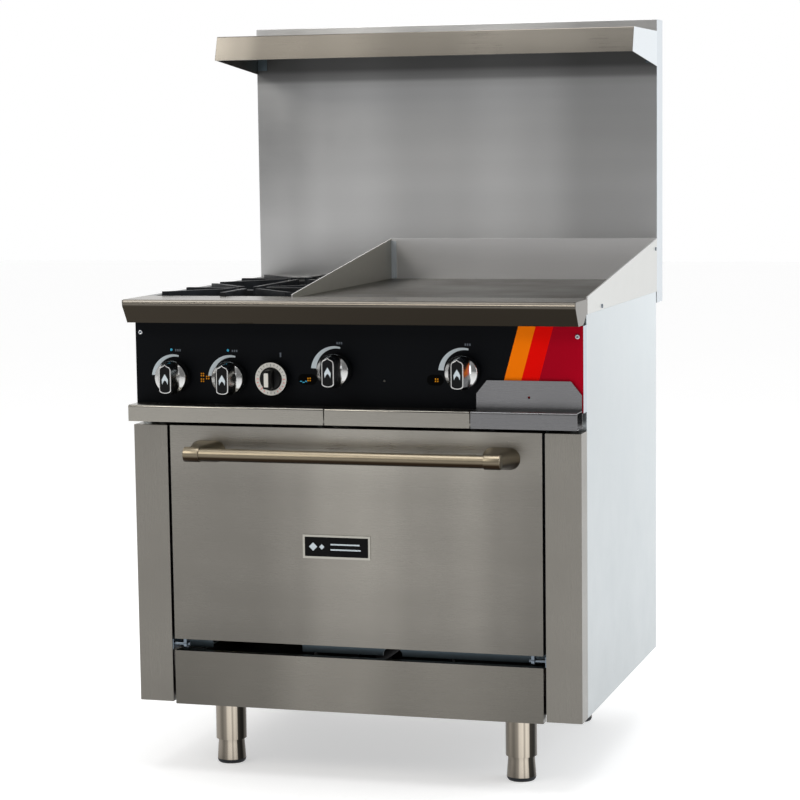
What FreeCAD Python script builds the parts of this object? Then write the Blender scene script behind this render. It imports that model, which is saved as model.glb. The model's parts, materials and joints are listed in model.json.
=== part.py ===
import FreeCAD, Part
import os
import re
import Sketcher

# Commercial gas range: two open burners, a griddle and an oven, on adjustable legs.
# Millimetres. +Z is up and the front faces -Y. The origin is on the floor, under the
# middle of the bounding box. In the sizes below, every "y" place is counted from the
# door's front face, which door_plane puts in the range's own frame.

DOC = FreeCAD.newDocument("GasRange")

SIZES = {
    # whole range
    "half_width": 457.0,
    "door_plane": -367.5,
    "sheet": 1.5,
    "side_front": 50.0,
    "side_back": 752.0,
    "side_flange": 17.0,
    "body_bottom": 146.0,
    "side_top": 931.0,
    # legs
    "leg_across": 307.0,
    "leg_front": 116.0,
    "leg_rear": 636.0,
    "leg_radius": 31.5,
    "leg_bore": 29.0,
    "leg_tube_bottom": 50.0,
    "foot_radius": 28.6,
    "foot_top": 100.0,
    "pad_height": 10.0,
    # front posts, kick panel and door
    "stile_inner": 386.0,
    "stile_top": 708.0,
    "kick_bottom": 142.0,
    "kick_top": 251.5,
    "kick_depth": 20.0,
    "door_half": 380.5,
    "door_bottom": 275.0,
    "door_top": 708.0,
    "door_pan": 40.0,
    "door_back": 47.0,
    "hinge_y": 10.0,
    "hinge_z": 264.0,
    "hinge_pin": 4.0,
    "hinge_bore": 4.05,
    # oven
    "frame_front": 51.5,
    "frame_bottom": 250.0,
    "oven_half": 335.0,
    "oven_back": 640.0,
    "oven_floor": 300.0,
    "oven_roof": 650.0,
    "deck_level": 706.0,
    "rack_pitch": 58.5,
    "rack_first": 365.0,
    "rack_half": 327.0,
    "rack_front": 75.0,
    "rack_rear": 625.0,
    "rack_rod": 3.5,
    "rack_wire": 2.5,
    # door handle
    "bar_y": -76.3,
    "bar_z": 660.0,
    "bar_radius": 12.5,
    "socket_radius": 14.7,
    "socket_inner": 287.0,
    "socket_outer": 319.0,
    # control panel and what is behind it
    "panel_front": 20.0,
    "panel_bottom": 745.0,
    "panel_top": 911.5,
    "low_row": 803.0,
    "high_row": 821.0,
    "knob_one": -373.0,
    "knob_two": -253.0,
    "dial_x": -165.0,
    "knob_three": -35.0,
    "knob_four": 224.0,
    "knob_radius": 33.0,
    "knob_back": 16.0,
    "knob_front": -38.0,
    "dial_radius": 33.5,
    "dial_face": 0.0,
    "pointer_front": -28.0,
    "stem_radius": 4.0,
    "stem_hole": 4.06,
    "manifold_y": 71.0,
    "manifold_z": 812.0,
    "manifold_radius": 13.0,
    "inlet_x": 410.0,
    "inlet_radius": 13.3,
    # trays below the panel
    "tray_face": -28.0,
    "tray_bottom": 717.0,
    "tray_top": 750.0,
    "tray_floor": 716.0,
    "tray_split": -48.0,
    "drawer_split": 246.0,
    "drawer_end": 455.0,
    # cooktop
    "cooktop": 960.0,
    "nose_front": -54.0,
    "nose_foot": -21.0,
    "nose_bottom": 913.0,
    "nose_back": 80.0,
    "nose_bend": 9.0,
    "well_bottom": 895.0,
    "divider": -148.0,
    "griddle_top": 957.0,
    "griddle_under": 938.0,
    "griddle_front": 108.0,
    "splash_low": 964.0,
    "splash_high": 1046.0,
    "splash": 3.0,
    "burner_x": -295.0,
    "burner_front": 247.0,
    "burner_rear": 577.0,
    "grate_foot": 940.0,
    "grate_top": 967.0,
    "grate_bar": 12.0,
    "grate_half_x": 139.0,
    "grate_half_y": 160.0,
    # backguard, flue and shelf
    "guard_front": 762.0,
    "guard_back": 826.0,
    "guard_bottom": 906.0,
    "guard_top": 1516.0,
    "flue_half": 120.0,
    "flue_front": 700.0,
    "flue_back": 745.0,
    "shelf_top": 1491.0,
    "shelf_lip_top": 512.0,
    "shelf_lip_foot": 496.0,
    "shelf_lip_bottom": 1440.0,
    "shelf_end_bottom": 1416.0,
}

NODES = {}


def make_sheet():
    """Put the driving dimensions in a spreadsheet, one alias each."""
    sheet = DOC.addObject("Spreadsheet::Sheet", "Sizes")
    for row, (name, value) in enumerate(SIZES.items(), start=1):
        sheet.set(f"A{row}", name)
        sheet.set(f"B{row}", str(value))
        sheet.setAlias(f"B{row}", name)
    DOC.recompute()
    return sheet


def linked(value):
    """Turn a size such as "half_width - sheet" into an expression on the spreadsheet."""
    text = str(value)
    return re.sub(r"[a-z_]+", lambda word: "Sizes." + word[0] if word[0] in SIZES else word[0], text)


def bind(thing, prop, value):
    thing.setExpression(prop, linked(value))


def place(thing, x, y, z):
    """Bind a piece's base point; y is counted from the door's front face."""
    bind(thing, "Placement.Base.x", x)
    bind(thing, "Placement.Base.y", f"door_plane + ({y})")
    bind(thing, "Placement.Base.z", z)


def node(name, thing):
    """Name a finished sub-part."""
    thing.Label = name
    NODES[name] = thing
    return thing


def block(xs, ys, zs):
    """A box between two places along each axis."""
    box = DOC.addObject("Part::Box", "Block")
    bind(box, "Length", f"({xs[1]}) - ({xs[0]})")
    bind(box, "Width", f"({ys[1]}) - ({ys[0]})")
    bind(box, "Height", f"({zs[1]}) - ({zs[0]})")
    place(box, xs[0], ys[0], zs[0])
    return box


TURN = {
    "X": FreeCAD.Rotation(FreeCAD.Vector(0, 1, 0), 90),
    "Y": FreeCAD.Rotation(FreeCAD.Vector(1, 0, 0), -90),
    "Z": FreeCAD.Rotation(),
}


def stand(thing, axis, centre, start):
    """Point a round piece along an axis, from its starting place on that axis."""
    thing.Placement = FreeCAD.Placement(FreeCAD.Vector(), TURN[axis])
    spots = {"X": (start, *centre), "Y": (centre[0], start, centre[1]), "Z": (*centre, start)}
    place(thing, *spots[axis])
    return thing


def rod(axis, centre, span, radius):
    """A cylinder along an axis, between two places on it."""
    cylinder = DOC.addObject("Part::Cylinder", "Rod")
    bind(cylinder, "Radius", radius)
    bind(cylinder, "Height", f"({span[1]}) - ({span[0]})")
    return stand(cylinder, axis, centre, span[0])


def fuse(*things):
    joined = DOC.addObject("Part::MultiFuse", "Fused")
    joined.Shapes = list(things)
    joined.Refine = True
    return joined


def group(*things):
    """Several separate solids in one sub-part."""
    bunch = DOC.addObject("Part::Compound", "Group")
    bunch.Links = list(things)
    return bunch


def cut(base, *tools):
    trimmed = DOC.addObject("Part::Cut", "Trimmed")
    trimmed.Base = base
    trimmed.Tool = tools[0] if len(tools) == 1 else fuse(*tools)
    trimmed.Refine = True
    return trimmed


def shell(xs, ys, zs, open_side, wall="sheet"):
    """A thin box with one side open, such as "+Y" for an open back."""
    inner = []
    for axis, (low, high) in zip("XYZ", (xs, ys, zs)):
        low_wall = f"({low}) - 1" if open_side == "-" + axis else f"({low}) + {wall}"
        high_wall = f"({high}) + 1" if open_side == "+" + axis else f"({high}) - {wall}"
        inner.append((low_wall, high_wall))
    return cut(block(xs, ys, zs), block(*inner))


PLANES = {"XY": ("XY_Plane", "Z"), "XZ": ("XZ_Plane", "Y"), "YZ": ("YZ_Plane", "X")}


def outline(body, plane, points):
    """A closed polygon sketch whose corners are bound to the spreadsheet."""
    sketch = body.newObject("Sketcher::SketchObject", "Outline")
    role = PLANES[plane][0]
    sketch.AttachmentSupport = [(o, "") for o in body.Origin.OriginFeatures if o.Role == role][0]
    sketch.MapMode = "FlatFace"
    count = len(points)
    spread = [FreeCAD.Vector(number(u), number(v), 0) for u, v in points]
    for i in range(count):
        sketch.addGeometry(Part.LineSegment(spread[i], spread[(i + 1) % count]))
    for i in range(count):
        sketch.addConstraint(Sketcher.Constraint("Coincident", i, 2, (i + 1) % count, 1))
    for i, (u, v) in enumerate(points):
        for kind, value, start in (("DistanceX", u, spread[i].x), ("DistanceY", v, spread[i].y)):
            index = sketch.addConstraint(Sketcher.Constraint(kind, -1, 1, i, 1, start))
            bind(sketch, f"Constraints[{index}]", value)
    return sketch


def number(value):
    """The number that a size expression stands for."""
    text = re.sub(r"[a-z_]+", lambda word: f"({SIZES[word[0]]})", str(value))
    return FreeCAD.Units.Quantity(text).Value


def profile(plane, points, span):
    """A sketch outline padded along its plane's normal, between two places on it."""
    body = DOC.addObject("PartDesign::Body", "Profile")
    sketch = outline(body, plane, points)
    pad = body.newObject("PartDesign::Pad", "Pad")
    pad.Profile = sketch
    pad.Reversed = plane == "XZ"
    bind(pad, "Length", f"({span[1]}) - ({span[0]})")
    axis = PLANES[plane][1]
    place(body, *[span[0] if axis == letter else "0" for letter in "XYZ"])
    return body


def bend(body, y, z, radius):
    """Round the edge that runs along X at (y, z) on a padded body."""
    DOC.recompute()
    base = body.Tip
    names = []
    for i, edge in enumerate(base.Shape.Edges, start=1):
        spot = edge.CenterOfMass
        if abs(spot.y - number(y)) < 0.01 and abs(spot.z - number(z)) < 0.01:
            names.append(f"Edge{i}")
    fillet = body.newObject("PartDesign::Fillet", "Bend")
    fillet.Base = (base, names)
    bind(fillet, "Radius", radius)
    return body


def turned(points, axis, centre, start):
    """A revolved solid: points are (radius, distance along the axis from start)."""
    body = DOC.addObject("PartDesign::Body", "Turned")
    sketch = outline(body, "XZ", points)
    spin = body.newObject("PartDesign::Revolution", "Spin")
    spin.Profile = sketch
    spin.ReferenceAxis = (sketch, ["V_Axis"])
    spin.Angle = 360.0
    return stand(body, axis, centre, start)


# ---------------------------------------------------------------- casing and legs

def make_side_panels():
    spans = {"left": ("-half_width", "-half_width + side_flange"),
             "right": ("half_width - side_flange", "half_width")}
    opens = {"left": "+X", "right": "-X"}
    for side, xs in spans.items():
        panel = shell(xs, ("side_front", "side_back"), ("body_bottom", "side_top"), opens[side])
        node(f"side_panel_{side}", panel)


def make_back_panel():
    edge = "half_width - side_flange - 1"
    ys = ("side_back - sheet", "side_back")
    sheet = block((f"-({edge})", edge), ys, ("body_bottom + 3", "side_top"))
    through = ("side_back - 10", "side_back + 10")
    flue = block(("-flue_half - 2", "flue_half + 2"), through, ("906", "926"))
    pipe = rod("Y", ("inlet_x", "manifold_z"), through, "inlet_radius + 4")
    node("back_panel", cut(sheet, flue, pipe))


def make_base_frame():
    xs = ("-half_width + side_flange + 2", "half_width - side_flange - 2")
    pan = shell(xs, ("side_front + 4", "side_back - 3"), ("body_bottom + 2", "body_bottom + 42"),
                "+Z", wall="2.5")
    air = block(("-240", "240"), ("120", "440"), ("body_bottom", "body_bottom + 10"))
    node("base_frame", cut(pan, air))


def make_stiles():
    for side, xs in (("left", ("-half_width", "-stile_inner")), ("right", ("stile_inner", "half_width"))):
        node(f"stile_{side}", shell(xs, ("0", "side_front"), ("body_bottom", "stile_top"), "+Y"))


def make_kick_panel():
    xs = ("-door_half", "door_half")
    node("kick_panel", shell(xs, ("0", "kick_depth"), ("kick_bottom", "kick_top"), "+Y"))


LEGS = {
    "front_left": ("-leg_across", "leg_front"),
    "front_right": ("leg_across", "leg_front"),
    "rear_left": ("-leg_across", "leg_rear"),
    "rear_right": ("leg_across", "leg_rear"),
}


def make_legs():
    """Four tubes on square plates, each with a foot that telescopes inside it."""
    tubes = []
    for corner, (x, y) in LEGS.items():
        plate = block((f"({x}) - 45", f"({x}) + 45"), (f"({y}) - 45", f"({y}) + 45"),
                      ("body_bottom - 2", "body_bottom + 2"))
        tube = rod("Z", (x, y), ("leg_tube_bottom", "body_bottom - 2"), "leg_radius")
        bore = rod("Z", (x, y), ("leg_tube_bottom - 1", "body_bottom - 8"), "leg_bore")
        tubes.append(cut(fuse(plate, tube), bore))
        foot = turned([
            ("0", "0"), ("foot_radius - 2.5", "0"), ("foot_radius + 0.9", "pad_height - 3"),
            ("foot_radius + 0.9", "pad_height"), ("foot_radius - 1.6", "leg_tube_bottom - 6"),
            ("foot_radius - 1.6", "leg_tube_bottom - 2"), ("foot_radius", "leg_tube_bottom + 2"),
            ("foot_radius", "foot_top"), ("foot_radius - 3", "foot_top"),
            ("foot_radius - 3", "pad_height + 4"), ("0", "pad_height + 4"),
        ], "Z", (x, y), "0")
        node(f"foot_{corner}", foot)
    node("leg_tubes", group(*tubes))


# ---------------------------------------------------------------- oven

def make_front_frame():
    """The oven's front plate: a mouth, a long window below it and a half-round lighting notch."""
    ys = ("frame_front", "frame_front + sheet")
    through = ("frame_front - 5", "frame_front + 5")
    plate = block(("-stile_inner", "stile_inner"), ys, ("frame_bottom", "stile_top - 2"))
    mouth = block(("-oven_half", "oven_half"), through, ("oven_floor", "oven_roof"))
    window = block(("-318", "-127"), through, ("frame_bottom - 5", "frame_bottom + 18"))
    notch = rod("Y", ("62", "frame_bottom"), through, "20")
    node("oven_front_frame", cut(plate, mouth, window, notch))


def make_liner():
    """Spot-welded sheets: a floor with a heat opening, a roof, two sides and a rear with the flue port."""
    wall = "oven_half + sheet"
    depth = ("frame_front + sheet", "oven_back")
    floor = block((f"-({wall})", wall), depth, ("oven_floor - sheet", "oven_floor"))
    heat = block(("-290", "290"), ("120", "590"), ("oven_floor - 5", "oven_floor + 5"))
    roof = block((f"-({wall})", wall), depth, ("oven_roof", "oven_roof + sheet"))
    sides = [block(xs, depth, ("oven_floor", "oven_roof"))
             for xs in ((f"-({wall})", "-oven_half"), ("oven_half", wall))]
    rear = block((f"-({wall})", wall), ("oven_back", "oven_back + sheet"),
                 ("oven_floor - sheet", "oven_roof + sheet"))
    vent = block(("2 - flue_half", "flue_half - 2"), ("oven_back - 5", "oven_back + 5"), ("601", "637"))
    node("oven_liner", group(cut(floor, heat), roof, *sides, cut(rear, vent)))


def make_oven_deck():
    """A removable floor plate with a row of heat slots along each side."""
    plate = block(("-oven_half + 4", "oven_half - 4"), ("frame_front + 8", "oven_back - 4"),
                  ("oven_floor", "oven_floor + 2.5"))
    slots = []
    for side in (-1, 1):
        for i in range(7):
            start = 130 + 64 * i
            xs = sorted((side * 292, side * 270))
            slots.append(block([str(x) for x in xs], (str(start), str(start + 44)),
                               ("oven_floor - 3", "oven_floor + 6")))
    node("oven_deck", cut(plate, *slots))


def make_insulation():
    edge = "half_width - side_flange - 4"
    wrap = block((f"-({edge})", edge), ("frame_front + 3", "flue_back + 1"), ("292", "deck_level - 1"))
    hollow = block(("-oven_half - 2.5", "oven_half + 2.5"), ("frame_front", "oven_back + 2.5"),
                   ("280", "oven_roof + 2.5"))
    flue = block(("-flue_half - 1.5", "flue_half + 1.5"), ("oven_back", "flue_back + 5"), ("596", "720"))
    node("oven_insulation", cut(wrap, hollow, flue))


def make_top_cover():
    """The deck over the oven, with ribs that the trays slide on."""
    edge = "half_width - side_flange - 2"
    deck = block((f"-({edge})", edge), ("frame_front + 3", "side_back - 3"),
                 ("deck_level", "deck_level + sheet"))
    flue = block(("-flue_half - 1.5", "flue_half + 1.5"), ("flue_front - 1.5", "flue_back + 1.5"),
                 ("deck_level - 5", "deck_level + 5"))
    ribs = [block((str(x), str(x + 10)), ("60", "680"), ("deck_level + 0.5", "tray_floor - 0.2"))
            for x in (-425, -90, -35, 225, 262, 425)]
    node("oven_top_cover", fuse(cut(deck, flue), *ribs))


def make_rack_guides():
    """One pressed side sheet per wall, with five ledges."""
    sides = []
    for side in (-1, 1):
        xs = ("oven_half - 2.2", "oven_half - 0.2")
        ledge_xs = ("oven_half - 17", "oven_half - 1")
        if side < 0:
            xs = tuple(f"-({x})" for x in reversed(xs))
            ledge_xs = tuple(f"-({x})" for x in reversed(ledge_xs))
        sheet = block(xs, ("62", "630"), ("330", "640"))
        ledges = [block(ledge_xs, ("62", "630"),
                        (f"rack_first + {i} * rack_pitch", f"rack_first + {i} * rack_pitch + 2"))
                  for i in range(5)]
        sides.append(fuse(sheet, *ledges))
    node("rack_guides", group(*sides))


def make_rack(name, step):
    """A wire rack: a rod frame, two cross rods and a row of wires, turned up at the back."""
    level = f"rack_first + {step} * rack_pitch + 2.3 + rack_rod"
    edges = [rod("X", (y, level), ("-rack_half", "rack_half"), "rack_rod")
             for y in ("rack_front + rack_rod", "300", "400", "rack_rear - rack_rod")]
    edges += [rod("Y", (f"{sign} * (rack_half - rack_rod)", level), ("rack_front", "rack_rear"), "rack_rod")
              for sign in (-1, 1)]
    wires = [rod("Y", (f"{26 * i}", f"{level} + 4"), ("rack_front + 1", "rack_rear - 1"), "rack_wire")
             for i in range(-11, 12)]
    node(name, fuse(*edges, *wires))


def make_oven_burner():
    pipe = rod("Y", ("0", "232"), ("80", "600"), "20")
    bore = rod("Y", ("0", "232"), ("70", "590"), "17.5")
    posts = [block(("-15", "15"), (str(y), str(y + 4)), ("body_bottom + 4.5", "216")) for y in (190, 556)]
    node("oven_burner", cut(fuse(pipe, *posts), bore))


def make_flame_spreader():
    points = [("-150", "262"), ("0", "284"), ("150", "262"), ("150", "264"), ("0", "286"), ("-150", "264")]
    sheet = profile("XZ", points, ("140", "580"))
    posts = [block((str(x), str(x + 2)), (str(y), str(y + 20)), ("body_bottom + 4.5", "262"))
             for x in (-148, 146) for y in (180, 545)]
    node("flame_spreader", group(sheet, *posts))


# ---------------------------------------------------------------- oven door

def make_door():
    xs = ("-door_half", "door_half")
    zs = ("door_bottom", "door_top")
    node("door_outer_panel", shell(xs, ("0", "door_pan"), zs, "+Y"))
    node("door_inner_panel", shell(xs, ("door_pan", "door_back"), zs, "-Y"))
    node("door_insulation", block(("-door_half + 3", "door_half - 3"), ("2", "door_back - 2"),
                                  ("door_bottom + 3", "door_top - 3")))
    badge = profile("XZ", [("-104", "450"), ("35", "450"), ("35", "497"), ("-104", "497")], ("-2", "0"))
    node("door_badge", badge)


def make_gasket():
    """A square ring round the oven's mouth, on the front frame."""
    ys = ("door_back + 0.5", "frame_front")
    outer = block(("-oven_half - 24", "oven_half + 24"), ys, ("oven_floor - 22", "oven_roof + 24"))
    inner = block(("-oven_half - 10", "oven_half + 10"), ("0", "100"), ("oven_floor - 8", "oven_roof + 10"))
    node("door_gasket", cut(outer, inner))


def make_hinges():
    """Each door arm turns on a pin that stands out of a plate on the post."""
    arms = []
    brackets = []
    for sign in (-1, 1):
        spans = {"arm": (356, 362), "bore": (350, 370), "pin": (351, 385), "plate": (384, 386)}
        spans = {key: [str(x) for x in sorted((sign * a, sign * b))] for key, (a, b) in spans.items()}
        centre = ("hinge_y", "hinge_z")
        boss = rod("X", centre, spans["arm"], "8.5")
        arm = block(spans["arm"], ("hinge_y - 8", "hinge_y + 8"), ("hinge_z", "door_bottom"))
        arms.append(cut(fuse(boss, arm), rod("X", centre, spans["bore"], "hinge_bore")))
        pin = rod("X", centre, spans["pin"], "hinge_pin")
        plate = block(spans["plate"], ("2", "42"), ("kick_top + 1.5", "door_bottom - 1.5"))
        brackets.append(fuse(pin, plate))
    node("door_hinge_arms", group(*arms))
    node("door_hinge_brackets", group(*brackets))


def make_handle():
    """A round bar whose ends sit in the sockets of two tapered posts."""
    centre = ("bar_y", "bar_z")
    bar = rod("X", centre, ("-socket_outer + 12", "socket_outer - 12"), "bar_radius")
    hollow = rod("X", centre, ("-socket_outer", "socket_outer"), "bar_radius - 2")
    node("handle_bar", cut(bar, hollow))
    posts = []
    for sign in (-1, 1):
        span = ("socket_inner", "socket_outer") if sign > 0 else ("-socket_outer", "-socket_inner")
        hole = ("socket_inner - 1", "socket_outer - 12")
        if sign < 0:
            hole = ("-socket_outer + 12", "-socket_inner + 1")
        post = DOC.addObject("Part::Wedge", "Post")
        foot_x = sorted((sign * 262, sign * 338))
        tip_x = sorted((sign * 290, sign * 317))
        values = {"Xmin": foot_x[0], "Xmax": foot_x[1], "X2min": tip_x[0], "X2max": tip_x[1],
                  "Zmin": -23, "Zmax": 21, "Z2min": -13, "Z2max": 13, "Ymin": 0}
        for prop, value in values.items():
            setattr(post, prop, value)
        bind(post, "Ymax", "-bar_y - 4")
        post.Placement = FreeCAD.Placement(FreeCAD.Vector(), FreeCAD.Rotation(FreeCAD.Vector(1, 0, 0), 180))
        place(post, "0", "0", "bar_z - 2")
        socket = rod("X", centre, span, "socket_radius")
        posts.append(cut(fuse(post, socket), rod("X", centre, hole, "bar_radius + 0.1")))
    node("handle_brackets", group(*posts))


# ---------------------------------------------------------------- gas and controls

VALVES = {"knob_one": "low_row", "knob_two": "low_row", "knob_three": "high_row", "knob_four": "high_row"}


def make_control_panel():
    xs = ("-half_width", "half_width")
    ys = ("panel_front", "side_front - 0.5")
    pan = shell(xs, ys, ("panel_bottom", "panel_top"), "+Y")
    spots = list(VALVES.items()) + [("dial_x", "low_row")]
    holes = [rod("Y", spot, ("panel_front - 5", "panel_front + 5"), "8") for spot in spots]
    sight = rod("Y", ("62", "801"), ("panel_front - 5", "panel_front + 5"), "2.5")
    node("control_panel", cut(pan, *holes, sight))


def make_manifold():
    pipe = rod("X", ("manifold_y", "manifold_z"), ("-430", "inlet_x + 15"), "manifold_radius")
    bore = rod("X", ("manifold_y", "manifold_z"), ("-420", "inlet_x + 5"), "manifold_radius - 3")
    node("gas_manifold", cut(pipe, bore))
    centre = ("inlet_x", "manifold_z")
    feed = rod("Y", centre, ("manifold_y + 14", "side_back + 10"), "inlet_radius - 1.5")
    nut = rod("Y", centre, ("manifold_y + 14", "manifold_y + 40"), "17")
    end = rod("Y", centre, ("side_back + 8", "side_back + 48"), "inlet_radius")
    hollow = rod("Y", centre, ("manifold_y + 20", "side_back + 60"), "inlet_radius - 3")
    node("gas_inlet", cut(fuse(feed, nut, end), hollow))


def make_valves():
    bodies = []
    for x, z in VALVES.items():
        stem = rod("Y", (x, z), ("-4", "30"), "stem_radius")
        barrel = rod("Y", (x, z), ("24", "54"), "11")
        tail = block((f"{x} - 9", f"{x} + 9"), ("30", "54"), (f"{z} - 6", f"{z} + 22"))
        inlet = rod("Y", (x, "manifold_z"), ("40", "manifold_y - manifold_radius - 0.1"), "7")
        bodies.append(fuse(stem, barrel, tail, inlet))
    node("gas_valves", group(*bodies))
    stem = rod("Y", ("dial_x", "low_row"), ("-2", "30"), "stem_radius")
    case = block(("dial_x - 28", "dial_x + 28"), ("24", "54"), ("low_row - 24", "low_row + 30"))
    node("oven_thermostat", fuse(stem, case))


def make_knob(name, x, z):
    """A round drum with a raised bottle-shaped grip, bored for the valve's stem."""
    skirt = turned([
        ("0", "0"), ("knob_radius - 1", "0"), ("knob_radius", "1.5"), ("knob_radius", "21"),
        ("knob_radius - 1", "23"), ("knob_radius - 3", "24"), ("0", "24"),
    ], "Y", (x, z), "knob_back")
    skirt.Placement.Rotation = FreeCAD.Rotation(FreeCAD.Vector(1, 0, 0), 90)
    grip = profile("XZ", [
        ("0", "28"), ("-11", "23"), ("-12.5", "19"), ("-12.5", "-21"), ("-8", "-28"), ("0", "-30"),
        ("8", "-28"), ("12.5", "-21"), ("12.5", "19"), ("11", "23"),
    ], ("knob_front", "knob_back - 22"))
    place(grip, x, "knob_front", z)
    bore = rod("Y", (x, z), ("-5", "knob_back + 1"), "stem_hole")
    node(name, cut(fuse(skirt, grip), bore))


def make_dial():
    """A drum with a flat ring face and a raised bar to grip, bored for the thermostat's stem."""
    dial = turned([
        ("0", "0"), ("dial_radius - 3", "0"), ("dial_radius", "knob_back - dial_face - 2"),
        ("dial_radius - 1", "knob_back - dial_face"), ("21", "knob_back - dial_face"),
        ("20", "knob_back - dial_face + 4"), ("0", "knob_back - dial_face + 4"),
    ], "Y", ("dial_x", "low_row"), "knob_back")
    dial.Placement.Rotation = FreeCAD.Rotation(FreeCAD.Vector(1, 0, 0), 90)
    bar = block(("dial_x - 8", "dial_x + 8"), ("pointer_front", "dial_face - 2"),
                ("low_row - 19", "low_row + 19"))
    bore = rod("Y", ("dial_x", "low_row"), ("-3", "knob_back + 1"), "stem_hole")
    node("thermostat_dial", cut(fuse(dial, bar), bore))


def make_screws():
    """Pan-head screws on the control panel, the griddle's outer splash and the cooktop's rim."""
    heads = [rod("Y", (x, "891"), ("panel_front - 2", "panel_front"), "4.5")
             for x in ("-446", "446")]
    heads += [rod("X", spot, ("half_width", "half_width + 2"), "4")
              for spot in (("189", "938"), ("745", "1024"))]
    heads += [rod("X", spot, ("-half_width - 2", "-half_width"), "4")
              for spot in (("189", "945"), ("745", "945"))]
    node("case_screws", group(*heads))


# ---------------------------------------------------------------- trays

def tray_front(left, right):
    """A folded channel: a face with a bottom lip, a flat top and a wall down to the pan."""
    face = "tray_face"
    points = [
        (face, "tray_bottom"), (f"{face} + 18", "tray_bottom"), (f"{face} + 18", "tray_bottom + sheet"),
        (f"{face} + sheet", "tray_bottom + sheet"), (f"{face} + sheet", "tray_top - sheet"),
        ("panel_front - 2", "tray_top - sheet"), ("panel_front - 2", "tray_floor"),
        ("panel_front - 2 + sheet", "tray_floor"), ("panel_front - 2 + sheet", "tray_top"),
        (face, "tray_top"),
    ]
    channel = profile("YZ", points, (left, right))
    bend(channel, f"{face} + sheet", "tray_top - sheet", "3")
    return bend(channel, face, "tray_top", "4.5")


def make_tray(name, left, right, depth, inset, extra=()):
    front = tray_front(left, right)
    xs = (f"({left}) + {inset}", f"({right}) - {inset}")
    pan = shell(xs, ("panel_front - 2", depth), ("tray_floor", "tray_top - 8"), "+Z")
    node(name, fuse(front, pan, *extra))


def make_trays():
    make_tray("crumb_tray", "-half_width", "tray_split - 1", "600", "20")
    make_tray("griddle_tray", "tray_split + 1", "drawer_split - 1", "600", "6")
    upstand = profile("XZ", [
        ("drawer_split + 2", "tray_top - 4"), ("drawer_end", "tray_top - 4"), ("drawer_end", "780"),
        ("drawer_end - 21", "806"), ("drawer_split + 23", "806"), ("drawer_split + 2", "780"),
    ], ("panel_front - 6", "panel_front - 6 + sheet"))
    hole = rod("Y", ("352", "774"), ("0", "30"), "2.5")
    make_tray("grease_drawer", "drawer_split + 1", "drawer_end", "420", "20", (cut(upstand, hole),))


# ---------------------------------------------------------------- cooktop

def make_bullnose():
    """The front rail: a flat landing that bends over a nose and slants back under it."""
    points = [
        ("nose_back", "cooktop"), ("nose_front", "cooktop"), ("nose_foot", "nose_bottom"),
        ("panel_front - 1", "nose_bottom"), ("panel_front - 1", "nose_bottom + sheet"),
        ("nose_foot + 0.8", "nose_bottom + sheet"), ("nose_front + 3", "cooktop - sheet"),
        ("nose_back", "cooktop - sheet"),
    ]
    rail = profile("YZ", points, ("-half_width", "half_width"))
    bend(rail, "nose_front + 3", "cooktop - sheet", "nose_bend - sheet")
    bend(rail, "nose_front", "cooktop", "nose_bend")
    cap = [("58", "cooktop - 1"), ("nose_front + 8", "cooktop - 1"), ("nose_front + 8", "cooktop - 9"),
           ("nose_foot + 0.6", "nose_bottom + 0.3"), ("nose_foot + 41", "nose_bottom + 0.3"),
           ("side_front - 0.3", "side_top + 0.1"), ("58", "side_top + 0.1")]
    caps = [profile("YZ", cap, span)
            for span in (("-half_width", "-half_width + sheet"), ("half_width - sheet", "half_width"))]
    corner = block(("half_width - splash - 0.1", "half_width + 1"), ("58.9", "nose_back + 1"),
                   ("cooktop - 5", "cooktop + 5"))
    node("bullnose_rail", cut(fuse(rail, *caps), corner))


def make_cooktop_frame():
    """The walls under the cooktop, with ledges for the grates and a rim on the open side."""
    left = "-half_width + side_flange"
    right = "half_width - side_flange - 2"
    rear = "side_back - 3"
    full = ("well_bottom", "cooktop - sheet")
    low = ("well_bottom", "griddle_under - 1")
    pieces = [
        block((left, f"{left} + sheet"), ("nose_back + 1", rear), full),
        block(("-half_width", f"{left} + sheet"), ("nose_back + 1", "guard_front"),
              ("cooktop - sheet", "cooktop")),
        block(("-half_width", "-half_width + sheet"), ("59", "guard_front"), ("side_top", "cooktop - sheet")),
        block((left, right), ("nose_back - sheet", "nose_back + 1"), ("well_bottom", "cooktop - sheet - 0.5")),
        block((f"{left} + 0.5", "divider - 4"), (f"{rear} - sheet", rear), full),
        block((f"{left} + 0.5", "divider - 4"), (f"{rear} - 10", "guard_front"),
              ("cooktop - sheet", "cooktop")),
        block(("divider - 5.5", right), (f"{rear} - sheet", rear), low),
        block(("divider - 5.5", "divider - 4"), ("nose_back", rear), full),
        block((f"({right}) - sheet", right), ("nose_back", rear), low),
        block((f"{left} + 0.5", f"{left} + 14"), ("nose_back", rear), ("grate_foot - 2", "grate_foot - 0.3")),
        block(("divider - 18", "divider - 4.5"), ("nose_back", rear), ("grate_foot - 2", "grate_foot - 0.3")),
    ]
    flue = block(("-flue_half - 2", "flue_half + 2"), (f"{rear} - 10", f"{rear} + 10"), ("890", "926"))
    node("cooktop_frame", cut(fuse(*pieces), flue))


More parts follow.
